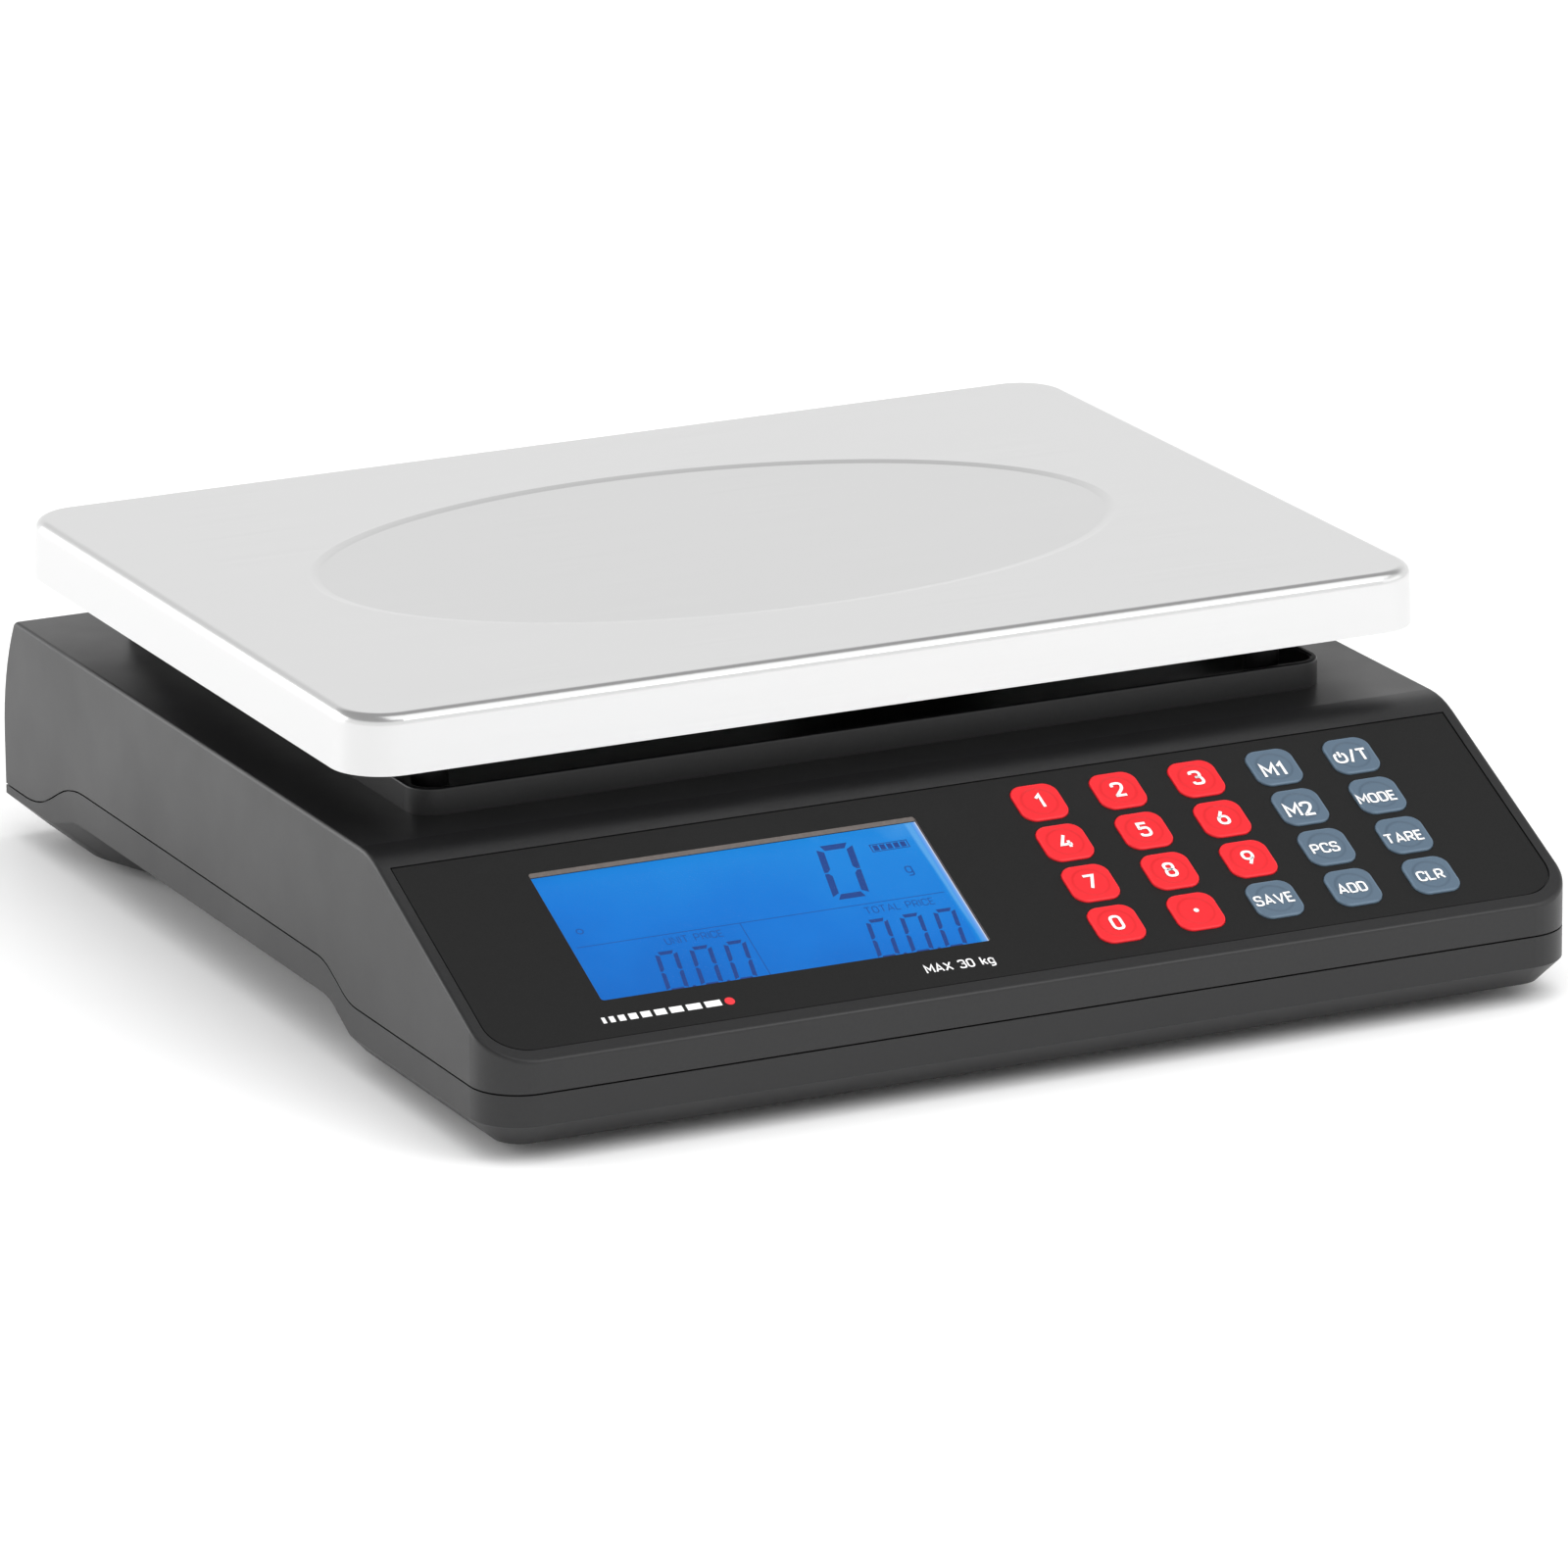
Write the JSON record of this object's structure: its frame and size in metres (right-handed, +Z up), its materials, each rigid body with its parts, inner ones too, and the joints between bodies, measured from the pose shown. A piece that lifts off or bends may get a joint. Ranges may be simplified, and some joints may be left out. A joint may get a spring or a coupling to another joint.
{
  "type": "price computing scale",
  "caption": "Counter scale that weighs goods on a lift-off steel pan and shows weight and price on a backlit display beside a sloping keypad.",
  "frame": {"origin": "centre of the bounding box on the counter, under the middle of the case", "axes": "+Z up, +X to the right of someone facing the keypad, +Y away from them towards the back wall; the front is -Y"},
  "size_m": [0.3216, 0.334, 0.0987],
  "materials": {
    "black_abs": "satin",
    "base_abs": "satin",
    "stainless": "brushed",
    "support_abs": "matte",
    "rubber": "matte",
    "machined_aluminium": "machined",
    "steel": "bright zinc",
    "plated_plate": "plated",
    "panel_film": "fine matte",
    "key_red": "satin",
    "key_blue_grey": "satin",
    "circuit": "film",
    "domes": "bright",
    "window": "clear",
    "lcd_glass": "polarised",
    "diffuser": "translucent",
    "board": "solder mask",
    "components": "moulded",
    "battery_case": "matte",
    "socket": "gloss",
    "vial": "clear",
    "cable": "matte"
  },
  "bodies": {
    "base": {"base_shell": "base_abs", "upper_housing": "black_abs", "load_cell": "machined_aluminium", "cell_base_plate": "plated_plate", "cell_base_bolts": "steel", "overload_stops": "steel", "housing_screws": "steel", "battery": "battery_case", "battery_bracket": "plated_plate", "main_board": "board", "board_parts": "components", "board_screws": "steel", "overlay": "panel_film", "keypad_circuit": "circuit", "key_domes": "domes", "front_window": "window", "front_lcd": "lcd_glass", "front_backlight": "diffuser", "front_display_board": "board", "rear_window": "window", "rear_lcd": "lcd_glass", "rear_backlight": "diffuser", "rear_display_board": "board", "dc_jack": "socket", "spirit_level": "vial", "wiring_loom": "cable"},
    "platform": {"pan_support": "support_abs", "pan_pads": "rubber", "cell_top_spacer": "machined_aluminium", "cell_top_bolts": "steel"},
    "pan": {"pan": "stainless"},
    "battery_lid": {"battery_lid": "base_abs"},
    "key_1": {"key_1": "key_red"},
    "key_2": {"key_2": "key_red"},
    "key_3": {"key_3": "key_red"},
    "key_m1": {"key_m1": "key_blue_grey"},
    "key_power": {"key_power": "key_blue_grey"},
    "key_4": {"key_4": "key_red"},
    "key_5": {"key_5": "key_red"},
    "key_6": {"key_6": "key_red"},
    "key_m2": {"key_m2": "key_blue_grey"},
    "key_mode": {"key_mode": "key_blue_grey"},
    "key_7": {"key_7": "key_red"},
    "key_8": {"key_8": "key_red"},
    "key_9": {"key_9": "key_red"},
    "key_pieces": {"key_pieces": "key_blue_grey"},
    "key_tare": {"key_tare": "key_blue_grey"},
    "key_0": {"key_0": "key_red"},
    "key_point": {"key_point": "key_red"},
    "key_save": {"key_save": "key_blue_grey"},
    "key_add": {"key_add": "key_blue_grey"},
    "key_clear": {"key_clear": "key_blue_grey"},
    "foot_pad_front_left": {"foot_pad_front_left": "rubber"},
    "foot_screw_front_left": {"foot_screw_front_left": "support_abs"},
    "foot_pad_front_right": {"foot_pad_front_right": "rubber"},
    "foot_screw_front_right": {"foot_screw_front_right": "support_abs"},
    "foot_pad_rear_left": {"foot_pad_rear_left": "rubber"},
    "foot_screw_rear_left": {"foot_screw_rear_left": "support_abs"},
    "foot_pad_rear_right": {"foot_pad_rear_right": "rubber"},
    "foot_screw_rear_right": {"foot_screw_rear_right": "support_abs"}
  },
  "joints": [
    {"name": "platform_load", "type": "slide", "parent": "base", "child": "platform", "axis": [0, 0, 1], "range_m": [-0.0005, 0], "stiffness_N_per_m": 700000, "deforming": ["load_cell"]},
    {"name": "pan_lift", "type": "slide", "parent": "platform", "child": "pan", "axis": [0, 0, 1], "range_m": [0, 0.05]},
    {"name": "battery_lid_pull", "type": "slide", "parent": "base", "child": "battery_lid", "axis": [0, 0, 1], "range_m": [-0.03, 0]},
    {"name": "key_1_press", "type": "slide", "parent": "base", "child": "key_1", "axis": [0, 0.4303, -0.9027], "range_m": [0, 0.0004], "stiffness_N_per_m": 4000, "deforming": ["key_domes"]},
    {"name": "key_2_press", "type": "slide", "parent": "base", "child": "key_2", "axis": [0, 0.4303, -0.9027], "range_m": [0, 0.0004], "stiffness_N_per_m": 4000, "deforming": ["key_domes"]},
    {"name": "key_3_press", "type": "slide", "parent": "base", "child": "key_3", "axis": [0, 0.4303, -0.9027], "range_m": [0, 0.0004], "stiffness_N_per_m": 4000, "deforming": ["key_domes"]},
    {"name": "key_m1_press", "type": "slide", "parent": "base", "child": "key_m1", "axis": [0, 0.4303, -0.9027], "range_m": [0, 0.0004], "stiffness_N_per_m": 4000, "deforming": ["key_domes"]},
    {"name": "key_power_press", "type": "slide", "parent": "base", "child": "key_power", "axis": [0, 0.4303, -0.9027], "range_m": [0, 0.0004], "stiffness_N_per_m": 4000, "deforming": ["key_domes"]},
    {"name": "key_4_press", "type": "slide", "parent": "base", "child": "key_4", "axis": [0, 0.4303, -0.9027], "range_m": [0, 0.0004], "stiffness_N_per_m": 4000, "deforming": ["key_domes"]},
    {"name": "key_5_press", "type": "slide", "parent": "base", "child": "key_5", "axis": [0, 0.4303, -0.9027], "range_m": [0, 0.0004], "stiffness_N_per_m": 4000, "deforming": ["key_domes"]},
    {"name": "key_6_press", "type": "slide", "parent": "base", "child": "key_6", "axis": [0, 0.4303, -0.9027], "range_m": [0, 0.0004], "stiffness_N_per_m": 4000, "deforming": ["key_domes"]},
    {"name": "key_m2_press", "type": "slide", "parent": "base", "child": "key_m2", "axis": [0, 0.4303, -0.9027], "range_m": [0, 0.0004], "stiffness_N_per_m": 4000, "deforming": ["key_domes"]},
    {"name": "key_mode_press", "type": "slide", "parent": "base", "child": "key_mode", "axis": [0, 0.4303, -0.9027], "range_m": [0, 0.0004], "stiffness_N_per_m": 4000, "deforming": ["key_domes"]},
    {"name": "key_7_press", "type": "slide", "parent": "base", "child": "key_7", "axis": [0, 0.4303, -0.9027], "range_m": [0, 0.0004], "stiffness_N_per_m": 4000, "deforming": ["key_domes"]},
    {"name": "key_8_press", "type": "slide", "parent": "base", "child": "key_8", "axis": [0, 0.4303, -0.9027], "range_m": [0, 0.0004], "stiffness_N_per_m": 4000, "deforming": ["key_domes"]},
    {"name": "key_9_press", "type": "slide", "parent": "base", "child": "key_9", "axis": [0, 0.4303, -0.9027], "range_m": [0, 0.0004], "stiffness_N_per_m": 4000, "deforming": ["key_domes"]},
    {"name": "key_pieces_press", "type": "slide", "parent": "base", "child": "key_pieces", "axis": [0, 0.4303, -0.9027], "range_m": [0, 0.0004], "stiffness_N_per_m": 4000, "deforming": ["key_domes"]},
    {"name": "key_tare_press", "type": "slide", "parent": "base", "child": "key_tare", "axis": [0, 0.4303, -0.9027], "range_m": [0, 0.0004], "stiffness_N_per_m": 4000, "deforming": ["key_domes"]},
    {"name": "key_0_press", "type": "slide", "parent": "base", "child": "key_0", "axis": [0, 0.4303, -0.9027], "range_m": [0, 0.0004], "stiffness_N_per_m": 4000, "deforming": ["key_domes"]},
    {"name": "key_point_press", "type": "slide", "parent": "base", "child": "key_point", "axis": [0, 0.4303, -0.9027], "range_m": [0, 0.0004], "stiffness_N_per_m": 4000, "deforming": ["key_domes"]},
    {"name": "key_save_press", "type": "slide", "parent": "base", "child": "key_save", "axis": [0, 0.4303, -0.9027], "range_m": [0, 0.0004], "stiffness_N_per_m": 4000, "deforming": ["key_domes"]},
    {"name": "key_add_press", "type": "slide", "parent": "base", "child": "key_add", "axis": [0, 0.4303, -0.9027], "range_m": [0, 0.0004], "stiffness_N_per_m": 4000, "deforming": ["key_domes"]},
    {"name": "key_clear_press", "type": "slide", "parent": "base", "child": "key_clear", "axis": [0, 0.4303, -0.9027], "range_m": [0, 0.0004], "stiffness_N_per_m": 4000, "deforming": ["key_domes"]},
    {"name": "foot_height_front_left", "type": "slide", "parent": "base", "child": "foot_pad_front_left", "axis": [0, 0, 1], "range_m": [-0.00375, 0.00187]},
    {"name": "foot_turn_front_left", "type": "hinge", "parent": "foot_pad_front_left", "child": "foot_screw_front_left", "pos_m": [-0.128, -0.13, 0.007], "axis": [0, 0, 1], "range_deg": [-1081, 541]},
    {"name": "foot_height_front_right", "type": "slide", "parent": "base", "child": "foot_pad_front_right", "axis": [0, 0, 1], "range_m": [-0.00375, 0.00187]},
    {"name": "foot_turn_front_right", "type": "hinge", "parent": "foot_pad_front_right", "child": "foot_screw_front_right", "pos_m": [0.128, -0.13, 0.007], "axis": [0, 0, 1], "range_deg": [-1081, 541]},
    {"name": "foot_height_rear_left", "type": "slide", "parent": "base", "child": "foot_pad_rear_left", "axis": [0, 0, 1], "range_m": [-0.00375, 0.00187]},
    {"name": "foot_turn_rear_left", "type": "hinge", "parent": "foot_pad_rear_left", "child": "foot_screw_rear_left", "pos_m": [-0.128, 0.13, 0.007], "axis": [0, 0, 1], "range_deg": [-1081, 541]},
    {"name": "foot_height_rear_right", "type": "slide", "parent": "base", "child": "foot_pad_rear_right", "axis": [0, 0, 1], "range_m": [-0.00375, 0.00187]},
    {"name": "foot_turn_rear_right", "type": "hinge", "parent": "foot_pad_rear_right", "child": "foot_screw_rear_right", "pos_m": [0.128, 0.13, 0.007], "axis": [0, 0, 1], "range_deg": [-1081, 541]}
  ],
  "couplings": [
    {"joint": "foot_turn_front_left", "follows": "foot_height_front_left", "rad_per_m": 5026.5},
    {"joint": "foot_turn_front_right", "follows": "foot_height_front_right", "rad_per_m": 5026.5},
    {"joint": "foot_turn_rear_left", "follows": "foot_height_rear_left", "rad_per_m": 5026.5},
    {"joint": "foot_turn_rear_right", "follows": "foot_height_rear_right", "rad_per_m": 5026.5}
  ]
}
